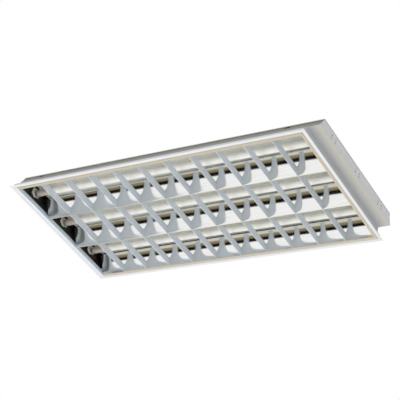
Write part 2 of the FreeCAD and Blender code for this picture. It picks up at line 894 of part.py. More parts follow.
def ballast_foot_half():
    return gear_pitch() - S.socket_length / 2 - S.ballast_clearance


def ballast_half():
    return ballast_foot_half() - S.ballast_foot_reach


def row_y(row):
    """Gear stands over the V reflectors: row 1 on the near one, row 2 on the far one."""
    return channel_pitch() * V_RIDGES[row - 1]


BALLASTS = ((1, 0), (1, 2), (2, 0))
STARTERS = ((1, 1), (1, 3), (2, 1))
CAPACITOR = (2, 2)


def make_gear_cover(number):
    """Channel-shaped cover under one row of gear, with closed ends and screw flanges."""
    sheet = S.cover_sheet
    top = tray_underside()
    floor = top - S.cover_depth
    half = S.cover_half_width
    wide = half + S.cover_flange
    middle = S.cover_end_x - S.cover_length / 2
    body = new_body(f"gear_cover_{number}", middle, row_y(number))
    section = new_sketch(body, "YZ_Plane")
    outline(section, [(-wide, top), (-wide, top - sheet), (-half, top - sheet), (-half, floor),
                      (half, floor), (half, top - sheet), (wide, top - sheet), (wide, top),
                      (half - sheet, top), (half - sheet, floor + sheet),
                      (sheet - half, floor + sheet), (sheet - half, top)])
    pad(body, section, S.cover_length, symmetric=True)
    for end in (-1, 1):
        inner = S.cover_length / 2 * end - (sheet if end > 0 else as_size(0))
        wall = new_sketch(body, "YZ_Plane", offset=inner)
        rectangle(wall, -half, half, floor, top)
        pad(body, wall, sheet)
    holes = new_sketch(body, "XY_Plane", offset=floor + sheet)
    for row, gear in STARTERS:
        if row == number:
            circle(holes, gear_x(gear) - middle, 0, S.starter_radius + S.starter_hole_clearance)
    pocket(body, holes, sheet * 2)


def make_ballast(number, row, gear):
    """Laminated core on a slotted foot plate that is screwed to the tray."""
    body = new_body(f"ballast_core_{number}", gear_x(gear), row_y(row))
    top = tray_underside()
    half_width = S.ballast_width / 2
    foot = new_sketch(body, "XY_Plane", offset=top)
    half_foot = ballast_foot_half()
    rectangle(foot, -half_foot, half_foot, -half_width, half_width)
    pad(body, foot, S.ballast_foot_thickness, reverse=True)
    core = new_sketch(body, "XY_Plane", offset=top)
    half_length = ballast_half()
    rectangle(core, -half_length, half_length, -half_width, half_width)
    pad(body, core, S.ballast_height, reverse=True)
    slots = new_sketch(body, "XY_Plane", offset=top)
    for end in (-1, 1):
        centre = (half_foot - S.screw_head_radius * 2) * end
        square(slots, centre, 0, S.screw_head_radius / 2)
    pocket(body, slots, S.ballast_foot_thickness)


def make_coils():
    solids = []
    top = tray_underside() - S.ballast_foot_thickness
    for row, gear in BALLASTS:
        for end in (-1, 1):
            inner = gear_x(gear) + ballast_half() * end
            low = inner if end > 0 else inner - S.coil_overhang
            half = S.ballast_width / 2 - S.coil_overhang / 2
            block = box(low, low + S.coil_overhang, row_y(row) - half, row_y(row) + half,
                        top - S.coil_height, top - S.screw_head_height)
            rim = [edge for edge in block.Edges if abs(edge.tangentAt(0).z) > 0.9]
            solids.append(block.makeChamfer(float(S.coil_corner), rim))
    add_shape("ballast_coils", Part.makeCompound(solids))


def make_capacitor():
    row, gear = CAPACITOR
    radius = S.capacitor_radius
    height = tray_underside() - radius - S.seat_gap
    start = gear_x(gear) - S.capacitor_length / 2
    can = rod(radius, S.capacitor_length, start, row_y(row), height, ALONG_X)
    can = can.makeChamfer(float(S.capacitor_edge), [can.Edges[i] for i in (0, 2)])
    tag_y = row_y(row) - radius / 2
    tag = box(start - S.tag_length, start, tag_y, tag_y + S.tag_thickness,
              height - S.tag_half_width, height + S.tag_half_width)
    tag_pair = [tag, tag.mirror(FreeCAD.Vector(0, float(row_y(row)), 0), FreeCAD.Vector(0, 1, 0))]
    add_shape("capacitor", can.multiFuse(tag_pair))


def make_terminal_block():
    """Three-pole block with wire holes through it and screw wells from below."""
    body = new_body("terminal_block", S.terminal_x, row_y(2))
    top = tray_underside()
    half_width = S.terminal_width / 2
    blank = new_sketch(body, "XY_Plane", offset=top)
    half_length = S.terminal_length / 2
    rectangle(blank, -half_length, half_length, -half_width, half_width)
    pad(body, blank, S.terminal_height, reverse=True)
    wires = new_sketch(body, "XZ_Plane")
    wells = new_sketch(body, "XY_Plane", offset=top - S.terminal_height)
    for pole in range(TERMINALS):
        x = S.terminal_pitch * (pole - (TERMINALS - 1) / 2)
        square(wires, x, top - S.terminal_height / 2, S.terminal_hole_radius)
        for side in (-1, 1):
            circle(wells, x, half_width / 2 * side, S.terminal_hole_radius)
    pocket(body, wires, S.terminal_width + 2, symmetric=True)
    pocket(body, wells, S.terminal_height / 3, reverse=True)


def make_starter_sockets():
    top = tray_underside()
    floor = top - S.socket_height
    bore = S.starter_radius + S.socket_bore_clearance
    sockets = []
    for row, gear in STARTERS:
        x = gear_x(gear)
        y = row_y(row)
        block = box(x - S.socket_length / 2, x + S.socket_length / 2, y - S.socket_width / 2,
                    y + S.socket_width / 2, floor, top)
        recess = rod(bore, S.socket_recess, x, y, floor, UP)
        spread = S.starter_pin_head + S.socket_bore_clearance
        groove_top = S.socket_height - S.socket_web
        groove = rod(S.starter_pin_offset + spread, groove_top, x, y, floor, UP)
        groove = groove.cut(rod(S.starter_pin_offset - spread, groove_top, x, y, floor, UP))
        sockets.append(block.cut(recess).cut(groove))
    add_shape("starter_sockets", Part.makeCompound(sockets))


def make_starter(number, row, gear):
    """Starter canister with a bevelled end and two headed pins in the socket's groove."""
    x = gear_x(gear)
    y = row_y(row)
    top = tray_underside() - S.socket_height + S.socket_recess - S.seat_gap
    can = rod(S.starter_radius, S.starter_length, x, y, top, DOWN)
    lower_rim = min(can.Edges, key=lambda edge: edge.CenterOfMass.z)
    can = can.makeChamfer(float(S.starter_edge), [lower_rim])
    shank = S.socket_height - S.socket_recess - S.starter_pin_gap
    head_height = S.starter_head_height
    for side in (-1, 1):
        pin_x = x + S.starter_pin_offset * side
        can = can.fuse(rod(S.starter_pin_radius, shank, pin_x, y, top, UP))
        head = rod(S.starter_pin_head, head_height, pin_x, y, top + shank - head_height, UP)
        can = can.fuse(head)
    add_shape(f"starter_{number}", can.removeSplitter())


def make_grommet():
    """Rubber cable grommet, grooved round the edge of its hole in the tray."""
    body = new_body("cable_grommet", S.grommet_x, row_y(2))
    section = new_sketch(body, "XZ_Plane")
    middle = S.body_height - S.sheet_thickness / 2
    half = S.grommet_height / 2
    bore = S.grommet_bore_radius
    neck = S.grommet_neck_radius
    flange = S.grommet_flange_radius
    outline(section, [(bore, middle - half), (flange, middle - half), (flange, tray_underside()),
                      (neck, tray_underside()), (neck, S.body_height), (flange, S.body_height),
                      (flange, middle + half), (bore, middle + half)])
    turn = body.newObject("PartDesign::Revolution", "grommet_turn")
    turn.Profile = section
    turn.ReferenceAxis = (section, ["V_Axis"])
    turn.Angle = 360.0


def hex_head(radius, depth, x, y, seat):
    """Hexagon screw head that hangs from its seat."""
    corners = []
    for corner in range(HEXAGON + 1):
        turn = math.radians(360 * corner / HEXAGON)
        corners.append(FreeCAD.Vector(float(x) + float(radius) * math.cos(turn),
                                      float(y) + float(radius) * math.sin(turn), float(seat)))
    return Part.Face(Part.makePolygon(corners)).extrude(FreeCAD.Vector(0, 0, -float(depth)))


def make_screws():
    """Hexagon screws that hold the gear covers and the ballasts to the tray."""
    heads = []
    radius = S.screw_head_radius
    under_flange = tray_underside() - S.cover_sheet
    under_foot = tray_underside() - S.ballast_foot_thickness
    for row in (1, 2):
        for side in (-1, 1):
            y = row_y(row) + (S.cover_half_width + S.cover_flange / 2) * side
            for step in range(SCREWS_PER_FLANGE):
                spacing = (S.cover_length - S.cover_flange * 4) / (SCREWS_PER_FLANGE - 1)
                x = S.cover_end_x - S.cover_flange * 2 - spacing * step
                heads.append((x, y, under_flange))
    for row, gear in BALLASTS:
        for end in (-1, 1):
            x = gear_x(gear) + (ballast_foot_half() - radius * 2) * end
            heads.append((x, row_y(row), under_foot))
    solids = [hex_head(radius, S.screw_head_height, *place) for place in heads]
    add_shape("gear_screws", Part.makeCompound(solids))


# ---------------------------------------------------------------- build, check and write

def build():
    fill_sheet()
    make_trim()
    make_side_wall("side_wall_near", -1)
    make_side_wall("side_wall_far", 1)
    make_end_plate("end_plate_left", -1)
    make_end_plate("end_plate_right", 1)
    make_end_step()
    make_gear_tray()
    for number, channel in enumerate(CHANNELS, start=1):
        make_lampholder(f"lampholder_{number}_left", channel, -1)
        make_lampholder(f"lampholder_{number}_right", channel, 1)
        make_lamp(number, channel)
    for number, ridge in enumerate(V_RIDGES, start=1):
        make_v_reflector(f"v_reflector_{number}", ridge)
        make_gear_cover(number)
    make_side_reflector("side_reflector_near", -1, S.near_upturn)
    make_side_reflector("side_reflector_far", 1, S.far_upturn)
    make_louvre_end("louvre_end_left", -1)
    make_louvre_end("louvre_end_right", 1)
    make_blades()
    make_hinges()
    make_catches()
    for number, (row, gear) in enumerate(BALLASTS, start=1):
        make_ballast(number, row, gear)
    make_coils()
    make_capacitor()
    make_terminal_block()
    make_starter_sockets()
    for number, (row, gear) in enumerate(STARTERS, start=1):
        make_starter(number, row, gear)
    make_grommet()
    make_screws()
    doc.recompute()


def check():
    for item in doc.Objects:
        if "Invalid" in item.State or "Error" in item.State:
            raise RuntimeError(f"{item.Label} did not build: {item.State}")
        if item.TypeId == "PartDesign::Pocket":
            before = item.BaseFeature.Shape.Volume
            if item.Shape.Volume > before - 0.01:
                raise RuntimeError(f"{item.Label} removes nothing")
    for part in SUBPARTS:
        if part.Shape.isNull() or not part.Shape.isValid() or part.Shape.Volume <= 0:
            raise RuntimeError(f"{part.Label} is not a valid solid")


def write():
    os.makedirs("parts", exist_ok=True)
    for part in SUBPARTS:
        part.Shape.exportStep(f"parts/{part.Label}.step")


build()
check()
write()
print(len(SUBPARTS), "sub-parts written")
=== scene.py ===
"""Looks of the recessed troffer light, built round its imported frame."""
import json
import math

import bpy
from mathutils import Matrix, Vector


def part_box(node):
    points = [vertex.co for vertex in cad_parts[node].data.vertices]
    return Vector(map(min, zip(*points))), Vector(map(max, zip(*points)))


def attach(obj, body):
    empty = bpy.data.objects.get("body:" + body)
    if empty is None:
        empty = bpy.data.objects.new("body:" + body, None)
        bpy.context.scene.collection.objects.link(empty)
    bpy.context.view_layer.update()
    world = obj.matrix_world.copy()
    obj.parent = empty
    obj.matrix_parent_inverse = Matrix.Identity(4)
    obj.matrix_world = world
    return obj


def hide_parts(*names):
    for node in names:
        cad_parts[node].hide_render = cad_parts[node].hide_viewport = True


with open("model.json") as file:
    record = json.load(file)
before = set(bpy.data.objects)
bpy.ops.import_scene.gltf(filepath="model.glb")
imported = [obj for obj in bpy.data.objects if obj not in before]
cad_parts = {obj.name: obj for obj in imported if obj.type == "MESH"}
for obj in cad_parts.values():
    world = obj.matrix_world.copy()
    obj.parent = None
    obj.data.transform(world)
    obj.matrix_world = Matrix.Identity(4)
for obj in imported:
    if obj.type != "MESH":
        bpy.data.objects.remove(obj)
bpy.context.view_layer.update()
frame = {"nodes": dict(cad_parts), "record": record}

MM = 0.001
NODES = frame["nodes"]
SLOT_OF = {part["node"]: part["material_slot"] for part in frame["record"]["subparts"]}
BODY_OF = {node: body for body, nodes in frame["record"]["behaviour"]["bodies"].items() for node in nodes}


# ---------------------------------------------------------------- sizes read from the frame

def low(node):
    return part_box(node)[0]


def high(node):
    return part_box(node)[1]


TRIM_FACE = low("trim_frame").z
SHEET = high("gear_tray").z - high("side_wall_far").z


# ---------------------------------------------------------------- camera

CAMERA_PLACE = Vector((2.3509, -2.7649, -2.5211))
CAMERA_FORWARD = Vector((-0.52965, 0.62943, 0.56858))
CAMERA_RIGHT = Vector((0.83631, 0.49942, 0.22618))
CAMERA_LENS = 113.495
SENSOR_WIDTH = 36.0


def add_camera():
    data = bpy.data.cameras.new("camera")
    data.lens = CAMERA_LENS
    data.sensor_width = SENSOR_WIDTH
    camera = bpy.data.objects.new("camera", data)
    back = -CAMERA_FORWARD.normalized()
    right = (CAMERA_RIGHT - back * CAMERA_RIGHT.dot(back)).normalized()
    turn = Matrix((right, back.cross(right), back)).transposed()
    camera.matrix_world = Matrix.Translation(CAMERA_PLACE) @ turn.to_4x4()
    bpy.context.scene.collection.objects.link(camera)
    bpy.context.scene.camera = camera


# ---------------------------------------------------------------- node materials

def linear(colour):
    """Display colour to the linear values that shaders take."""
    return tuple(c / 12.92 if c <= 0.04045 else ((c + 0.055) / 1.055) ** 2.4 for c in colour[:3]) + (1.0,)


NOISE_DETAIL = 3.0
# pointiness, which is 0.5 where a surface is flat
EDGE_START = 0.52
EDGE_FULL = 0.6


class Shader:
    """A material whose colour, roughness and relief come from noise in the object's own space."""

    def __init__(self, name, colour, roughness, metallic=0.0, stretch=(1, 1, 1)):
        self.material = bpy.data.materials.new(name)
        self.material.use_nodes = True
        self.tree = self.material.node_tree
        self.surface = self.tree.nodes["Principled BSDF"]
        self.surface.inputs["Metallic"].default_value = metallic
        place = self.tree.nodes.new("ShaderNodeTexCoord").outputs["Object"]
        mapping = self.tree.nodes.new("ShaderNodeMapping")
        mapping.inputs["Scale"].default_value = stretch
        self.tree.links.new(place, mapping.inputs["Vector"])
        self.place = place
        self.stretched = mapping.outputs["Vector"]
        self.mixed = linear(colour)
        self.roughness = roughness
        self.height = None

    def noise(self, scale, stretched=False):
        node = self.tree.nodes.new("ShaderNodeTexNoise")
        node.inputs["Scale"].default_value = scale
        node.inputs["Detail"].default_value = NOISE_DETAIL
        self.tree.links.new(self.stretched if stretched else self.place, node.inputs["Vector"])
        return node.outputs["Fac"]

    def spread(self, source, low, high, from_low=0.3, from_high=0.7):
        node = self.tree.nodes.new("ShaderNodeMapRange")
        for socket, number in (("From Min", from_low), ("From Max", from_high),
                               ("To Min", low), ("To Max", high)):
            node.inputs[socket].default_value = number
        self.tree.links.new(source, node.inputs["Value"])
        return node.outputs["Result"]

    def mix(self, share, first, second):
        node = self.tree.nodes.new("ShaderNodeMix")
        node.data_type = "RGBA"
        self.tree.links.new(share, node.inputs["Factor"])
        for socket, value in ((6, first), (7, second)):
            if isinstance(value, tuple):
                node.inputs[socket].default_value = value
            else:
                self.tree.links.new(value, node.inputs[socket])
        return node.outputs[2]

    def tint(self, share, colour):
        """Mixes a colour over those so far."""
        self.mixed = self.mix(share, self.mixed, linear(colour))
        self.tree.links.new(self.mixed, self.surface.inputs["Base Color"])
        return self

    def mottle(self, other, scale, stretched=False):
        """Patches of another colour."""
        return self.tint(self.spread(self.noise(scale, stretched), 0.0, 1.0), other)

    def edge_highlight(self, colour, share):
        """Paler or darker ridges where the surface turns sharply: painted highlight along sharp edges when
        paler, painted shade when darker.
        """
        geometry = self.tree.nodes.new("ShaderNodeNewGeometry").outputs["Pointiness"]
        return self.tint(self.spread(geometry, 0.0, share, EDGE_START, EDGE_FULL), colour)

    def uneven(self, amount, scale, stretched=False):
        """Roughness that varies by amount each way."""
        varied = self.spread(self.noise(scale, stretched), self.roughness - amount, self.roughness + amount)
        self.tree.links.new(varied, self.surface.inputs["Roughness"])
        return self

    def relief(self, strength, scale, distance, stretched=False):
        """Bumps, laid over those so far; distance is their height in metres."""
        bump = self.tree.nodes.new("ShaderNodeBump")
        bump.inputs["Strength"].default_value = strength
        bump.inputs["Distance"].default_value = distance
        self.tree.links.new(self.noise(scale, stretched), bump.inputs["Height"])
        if self.height is not None:
            self.tree.links.new(self.height, bump.inputs["Normal"])
        self.height = bump.outputs["Normal"]
        self.tree.links.new(self.height, self.surface.inputs["Normal"])
        return self

    def along(self, axis):
        """The place along an axis of the object."""
        split = self.tree.nodes.new("ShaderNodeSeparateXYZ")
        self.tree.links.new(self.place, split.inputs[0])
        return split.outputs[axis]

    def fade(self, axis, start, end, colour):
        """Turns to another colour between two places along an axis."""
        return self.tint(self.spread(self.along(axis), 0.0, 1.0, start, end), colour)

    def inside(self, axis, start, end, colour):
        """Another colour between two places along an axis, such as the inner side of a folded sheet."""
        reach = self.tree.nodes.new("ShaderNodeMath")
        reach.operation = "COMPARE"
        reach.inputs[1].default_value = (start + end) / 2
        reach.inputs[2].default_value = (end - start) / 2
        self.tree.links.new(self.along(axis), reach.inputs[0])
        return self.tint(reach.outputs[0], colour)

    def set(self, **numbers):
        for socket, number in numbers.items():
            self.surface.inputs[socket.replace("_", " ")].default_value = number
        return self


ROLLED = (1.5, 60.0, 60.0)
CROSS_ROLLED = (60.0, 1.5, 60.0)
# painted shade: the lamp glass turns darker towards its left end between these places along X
LAMP_END_SHADE = (-490 * MM, -525 * MM)


def painted_sheet(name, colour, other, roughness=0.36):
    """Enamel with a fine orange peel, on a sheet that is slightly wavy."""
    shader = Shader(name, colour, roughness).mottle(other, 6.0).uneven(0.06, 40.0)
    return shader.relief(0.25, 900.0, 0.00006).relief(0.15, 25.0, 0.0004)


def make_materials():
    for plain in list(bpy.data.materials):
        bpy.data.materials.remove(plain)
    enamel = painted_sheet("white_enamel", (0.9, 0.91, 0.925), (0.87, 0.88, 0.9))
    # painted highlight: paler enamel along sharp edges
    enamel.edge_highlight((0.97, 0.97, 0.96), 0.6)
    zinc = Shader("zinc_steel", (0.66, 0.67, 0.67), 0.42, 1.0)
    # painted highlight: paler zinc along sharp edges
    zinc.mottle((0.5, 0.51, 0.53), 140.0).edge_highlight((0.82, 0.82, 0.82), 0.5)
    zinc.uneven(0.12, 90.0).relief(0.3, 400.0, 0.00008)
    mirror = Shader("mirror_aluminium", (0.955, 0.955, 0.95), 0.09, 1.0, ROLLED)
    mirror.mottle((0.91, 0.91, 0.9), 9.0, stretched=True).uneven(0.03, 14.0, stretched=True)
    mirror.relief(0.12, 40.0, 0.00004, stretched=True)
    satin = Shader("satin_aluminium", (0.93, 0.965, 1.0), 0.5, 0.06, CROSS_ROLLED)
    satin.mottle((0.88, 0.915, 0.955), 9.0, stretched=True).uneven(0.05, 14.0, stretched=True)
    satin.relief(0.2, 40.0, 0.00004, stretched=True)
    holder = Shader("holder_plastic", (0.93, 0.93, 0.905), 0.5)
    # painted highlight: paler plastic along sharp edges
    holder.mottle((0.89, 0.885, 0.85), 60.0).edge_highlight((0.97, 0.97, 0.95), 0.4)
    holder.uneven(0.07, 300.0).relief(0.35, 1400.0, 0.00004)
    rotor = Shader("rotor_plastic", (0.9, 0.9, 0.88), 0.3)
    rotor.mottle((0.86, 0.855, 0.83), 80.0).uneven(0.05, 300.0).relief(0.2, 900.0, 0.00003)
    glass = Shader("phosphor_glass", (0.985, 0.98, 0.955), 0.14)
    # the darkening towards the left end of the glass is painted shade
    glass.mottle((0.96, 0.955, 0.925), 22.0).fade("X", *LAMP_END_SHADE, (0.7, 0.66, 0.61))
    glass.uneven(0.03, 60.0).relief(0.06, 300.0, 0.00003)
    glass.set(Coat_Weight=0.6, Coat_Roughness=0.05)
    cap = Shader("cap_aluminium", (0.8, 0.8, 0.8), 0.32, 1.0, ROLLED)
    cap.mottle((0.7, 0.7, 0.71), 50.0).uneven(0.08, 60.0).relief(0.3, 120.0, 0.00005)
    brass = Shader("brass_pin", (0.86, 0.72, 0.42), 0.25, 1.0)
    brass.mottle((0.74, 0.58, 0.3), 200.0).uneven(0.08, 400.0).relief(0.3, 800.0, 0.00003)
    core = Shader("core_steel", (0.17, 0.17, 0.18), 0.4, 0.0, (1.0, 1.0, 900.0))
    core.mottle((0.1, 0.1, 0.105), 40.0).uneven(0.1, 120.0).relief(0.6, 2.0, 0.0003, stretched=True)
    coil = Shader("coil_plastic", (0.45, 0.16, 0.1), 0.45)
    coil.mottle((0.36, 0.12, 0.08), 90.0).uneven(0.08, 200.0).relief(0.3, 700.0, 0.00006)
    capacitor = Shader("capacitor_plastic", (0.82, 0.82, 0.8), 0.45)
    capacitor.mottle((0.76, 0.76, 0.73), 60.0).uneven(0.07, 200.0).relief(0.3, 900.0, 0.00005)
    terminal = Shader("terminal_plastic", (0.88, 0.88, 0.85), 0.42)
    terminal.mottle((0.84, 0.83, 0.79), 90.0).uneven(0.07, 200.0).relief(0.3, 900.0, 0.00005)
    starter = Shader("starter_plastic", (0.9, 0.9, 0.9), 0.28)
    starter.mottle((0.86, 0.86, 0.855), 70.0).uneven(0.06, 200.0).relief(0.2, 900.0, 0.00004)
    rubber = Shader("grommet_rubber", (0.05, 0.05, 0.05), 0.65)
    rubber.mottle((0.08, 0.078, 0.075), 150.0).uneven(0.1, 300.0).relief(0.5, 900.0, 0.00008)
    made = (enamel, zinc, mirror, satin, holder, rotor, glass, cap, brass, core, coil, capacitor,
            terminal, starter, rubber)
    return {shader.material.name: shader.material for shader in made}


MATERIALS = make_materials()


def dress(material, *nodes):
    for node in nodes:
        for slot in NODES[node].material_slots:
            slot.material = material


# heights, and shares of the sheet in from the tray's edges, at which one colour turns to the next
# below this height the end plates stay pale; above it their inner faces carry painted shade
END_BAND = (-48 * MM, -50 * MM)
WALL_SHADE = (-45 * MM, -14 * MM)
# the dark line of painted shade under the tray's rim
WALL_RIM = (-11 * MM, -10 * MM)
RIM_START = 0.7
RIM_FULL = 0.5


def dress_ends():
    """White outside and along the foot; painted shade makes them dark inside above the foot."""
    ends = painted_sheet("white_enamel_ends_inner_shade", (0.95, 0.955, 0.965), (0.92, 0.925, 0.935))
    start = low("end_plate_left").x + SHEET / 2
    end = high("end_plate_right").x - SHEET / 2
    # painted shade: the inner faces are near black above the foot band
    ends.inside("X", start, end, (0.05, 0.05, 0.06)).fade("Z", *END_BAND, (0.93, 0.965, 1.0))
    dress(ends.material, "end_plate_left", "end_plate_right")


def dress_walls():
    """Painted shade: the walls are greyer than the other enamel and greyer towards the top, with a dark
    line of painted shade under the tray's rim; the ledge is painted grey as in shade and turns cream
    outwards.
    """
    walls = painted_sheet("white_enamel_walls_painted_shade", (0.84, 0.85, 0.86), (0.78, 0.79, 0.8), 0.34)
    # painted highlight: paler enamel along the walls' sharp edges
    walls.edge_highlight((0.9, 0.9, 0.9), 0.5)
    # painted shade: greyer towards the top, then a dark line under the tray's rim
    walls.fade("Z", *WALL_SHADE, (0.7, 0.7, 0.66)).fade("Z", *WALL_RIM, (0.38, 0.37, 0.32))
    dress(walls.material, "side_wall_near", "side_wall_far")
    # painted shade: the downward-facing ledge is painted grey
    step = painted_sheet("white_enamel_step_painted_shade", (0.6, 0.625, 0.66), (0.57, 0.595, 0.63))
    # painted highlight: paler edges on the ledge
    step.edge_highlight((0.9, 0.9, 0.9), 0.5)
    # painted shade: the grey of the ledge turns cream outwards
    step.fade("X", low("end_step").x, high("end_step").x, (0.79, 0.78, 0.73))
    dress(step.material, "end_step")


def dress_tray():
    """Zinc on top, white inside, dark along the long rims with painted shade, and grey along the short
    ones.
    """
    tray = Shader("zinc_steel_tray_rim_shade", (0.72, 0.725, 0.72), 0.38)
    # painted highlight: paler zinc along the tray's sharp edges
    tray.mottle((0.62, 0.625, 0.62), 140.0).edge_highlight((0.8, 0.8, 0.78), 0.5)
    tray.uneven(0.1, 90.0).relief(0.3, 400.0, 0.00008)
    tray.inside("Z", TRIM_FACE, -SHEET / 2, (0.93, 0.94, 0.92))
    bottom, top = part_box("gear_tray")
    # painted shade: the long rims are dark; the short rims are grey
    for axis, edges, colour in (("Y", (top.y, bottom.y), (0.22, 0.215, 0.17)),
                                ("X", (top.x, bottom.x), (0.76, 0.77, 0.77))):
        for edge, inward in zip(edges, (-SHEET, SHEET)):
            tray.fade(axis, edge + RIM_START * inward, edge + RIM_FULL * inward, colour)
    dress(tray.material, "gear_tray")


def dress_cad_nodes():
    for node, thing in NODES.items():
        material = MATERIALS[SLOT_OF[node]]
        if not thing.material_slots:
            thing.data.materials.append(material)
        for slot in thing.material_slots:
            slot.material = material


# ---------------------------------------------------------------- mesh helpers

SHARP_ANGLE = 35.0
ROUND_STEPS = 3
ROUND_LIMIT = 0.45


def new_piece(name, vertices, faces, node, replaced):
    """A piece that takes its body and its finish from a CAD node."""
    mesh = bpy.data.meshes.new(name)
    mesh.from_pydata(vertices, [], faces)
    mesh.validate()
    mesh.shade_smooth()
    mesh.set_sharp_from_angle(angle=math.radians(SHARP_ANGLE))
    mesh.materials.append(MATERIALS[SLOT_OF[node]])
    piece = bpy.data.objects.new(name, mesh)
    bpy.context.scene.collection.objects.link(piece)
    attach(piece, BODY_OF[node])
    if replaced:
        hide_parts(*replaced)
    return piece


class Builder:
    """Vertices and faces of one piece, added ring by ring."""

    def __init__(self):
        self.vertices = []
        self.faces = []

    def loft(self, rings, closed_path=False):
        """Skin through rings of equally many points."""
        count = len(rings[0])
        start = len(self.vertices)
        for ring in rings:
            self.vertices.extend(ring)
        spans = len(rings) if closed_path else len(rings) - 1
        for i in range(spans):
            a = start + i * count
            b = start + (i + 1) % len(rings) * count
            for k in range(count):
                n = (k + 1) % count
                self.faces.append((a + k, a + n, b + n, b + k))
        if not closed_path:
            last = start + (len(rings) - 1) * count
            self.faces.append(tuple(start + k for k in reversed(range(count))))
            self.faces.append(tuple(last + k for k in range(count)))
        return self

    def piece(self, name, node, replaced=()):
        return new_piece(name, self.vertices, self.faces, node, replaced)


def rounded(points, radius):
    """Closed outline with its corners rounded."""
    made = []
    for i, corner in enumerate(points):
        here = Vector(corner)
        before = Vector(points[i - 1]) - here
        after = Vector(points[(i + 1) % len(points)]) - here
        reach = min(radius, before.length * ROUND_LIMIT, after.length * ROUND_LIMIT)
        start = here + before.normalized() * reach
        end = here + after.normalized() * reach
        for step in range(ROUND_STEPS + 1):
            t = step / ROUND_STEPS
            made.append(start.lerp(here, t).lerp(here.lerp(end, t), t))
    return made


def lathe_x(builder, profile, x_sign, x_zero, y, z, around=64):
    """Body of revolution about a line along X; the profile is (distance along, radius) in mm."""
    rings = []
    for along, radius in ((along * MM, radius * MM) for along, radius in profile):
        ring = []
        for k in range(around):
            turn = 2 * math.pi * k / around * x_sign
            ring.append(Vector((x_zero + along * x_sign, y + radius * math.cos(turn),
                                z + radius * math.sin(turn))))
        rings.append(ring)
    builder.loft(rings)


# ---------------------------------------------------------------- trim

FLANGE_WIDTH = 12.3 * MM
FLANGE_THICKNESS = 1.2 * MM
SKIRT_INSET = 9.5 * MM
SKIRT_WALL = 1.5 * MM
EDGE_ROUND = 0.4 * MM
CORNERS = ((-1, -1), (1, -1), (1, 1), (-1, 1))


def make_trim():
    half_x = high("trim_frame").x
    half_y = high("trim_frame").y
    skirt_top = high("trim_frame").z - TRIM_FACE
    section = [(0, 0), (FLANGE_WIDTH, 0), (FLANGE_WIDTH, FLANGE_THICKNESS),
               (SKIRT_INSET + SKIRT_WALL, FLANGE_THICKNESS), (SKIRT_INSET + SKIRT_WALL, skirt_top),
               (SKIRT_INSET, skirt_top), (SKIRT_INSET, FLANGE_THICKNESS), (0, FLANGE_THICKNESS)]
    outline = rounded(section, EDGE_ROUND)
    rings = [[Vector(((half_x - p.x) * sx, (half_y - p.x) * sy, TRIM_FACE + p.y)) for p in outline]
             for sx, sy in CORNERS]
    Builder().loft(rings, closed_path=True).piece("trim_rolled", "trim_frame", ["trim_frame"])


# ---------------------------------------------------------------- reflectors

REFLECTOR_SHEET = 0.5 * MM
FACE_TOP = 60.0 * MM
LIP_TOP = 64.0 * MM
RIDGE_HALF = 1.2 * MM
RIDGE_LIFT = 0.15 * MM
# slopes of the faces at foot and top, then how far they lean and how much that changes along them
V_ANGLES = (67.5, 34.0)
SIDE_ANGLES = (73.0, 33.0)
V_LEAN = 1.8
V_TWIST = 3.2
SIDE_LEAN = 2.0
SIDE_TWIST = 0.5
FACE_STEPS = 28
LENGTH_STEPS = 44


def wing_face(foot, span, angles, twist):
    """Parabola in section, from its foot up to FACE_TOP; twist turns it about the foot, in degrees."""
    chord = math.atan2(FACE_TOP, span) + math.radians(twist)
    top = foot + FACE_TOP / math.tan(chord)
    foot_slope, top_slope = (math.tan(math.radians(angle + twist)) for angle in angles)
    meet_run = (FACE_TOP - top_slope * (top - foot)) / (foot_slope - top_slope)
    corners = ((foot, 0.0), (foot + meet_run, foot_slope * meet_run), (top, FACE_TOP))
    made = []
    for step in range(FACE_STEPS + 1):
        t = step / FACE_STEPS
        weights = ((1 - t) * (1 - t), 2 * t * (1 - t), t * t)
        made.append(tuple(sum(w * p[k] for w, p in zip(weights, corners)) for k in (0, 1)))
    return made


def behind(points, distance):
    """The same line, moved to its left by distance."""
    made = []
    for i, point in enumerate(points):
        before = Vector(points[max(i - 1, 0)])
        after = Vector(points[min(i + 1, len(points) - 1)])
        along = (after - before).normalized()
        made.append((point[0] - along.y * distance, point[1] + along.x * distance))
    return made


def wing_outline(foot, span, angles, twist):
    """From the foot of the face, round the lip, to the foot of the back."""
    face = wing_face(foot, span, angles, twist)
    back = behind(face, REFLECTOR_SHEET)
    top = face[-1][0]
    lip = [(top, LIP_TOP - EDGE_ROUND / 2), (top - EDGE_ROUND / 2, LIP_TOP),
           (top - REFLECTOR_SHEET, LIP_TOP - EDGE_ROUND / 2)]
    return face + lip + back[::-1]


def lengths(start, end, steps):
    return [start + (end - start) * i / steps for i in range(steps + 1)]


def share_along(node, x):
    """-1 at the left end of a node, +1 at its right end."""
    bottom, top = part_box(node)
    return (x - bottom.x) / (top.x - bottom.x) * 2 - 1


def v_twist(x):
    return V_LEAN - V_TWIST * share_along("v_reflector_1", x)


def v_span():
    bottom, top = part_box("v_reflector_1")
    return (top.y - bottom.y) / 2 - RIDGE_HALF


def side_twist(node, x):
    return SIDE_LEAN - SIDE_TWIST * share_along(node, x)


def make_v_reflectors():
    for number in (1, 2):
        node = f"v_reflector_{number}"
        bottom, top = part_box(node)
        middle = (bottom.y + top.y) / 2
        rings = []
        for x in lengths(bottom.x, top.x, LENGTH_STEPS):
            half = wing_outline(RIDGE_HALF, v_span(), V_ANGLES, v_twist(x))
            half[0] = (half[0][0], RIDGE_LIFT)
            right = [Vector((x, middle + y, TRIM_FACE + h)) for y, h in half]
            left = [Vector((x, middle - y, TRIM_FACE + h)) for y, h in half[::-1]]
            rings.append(right + left)
        Builder().loft(rings).piece(f"v_reflector_{number}_rolled", node, [node])


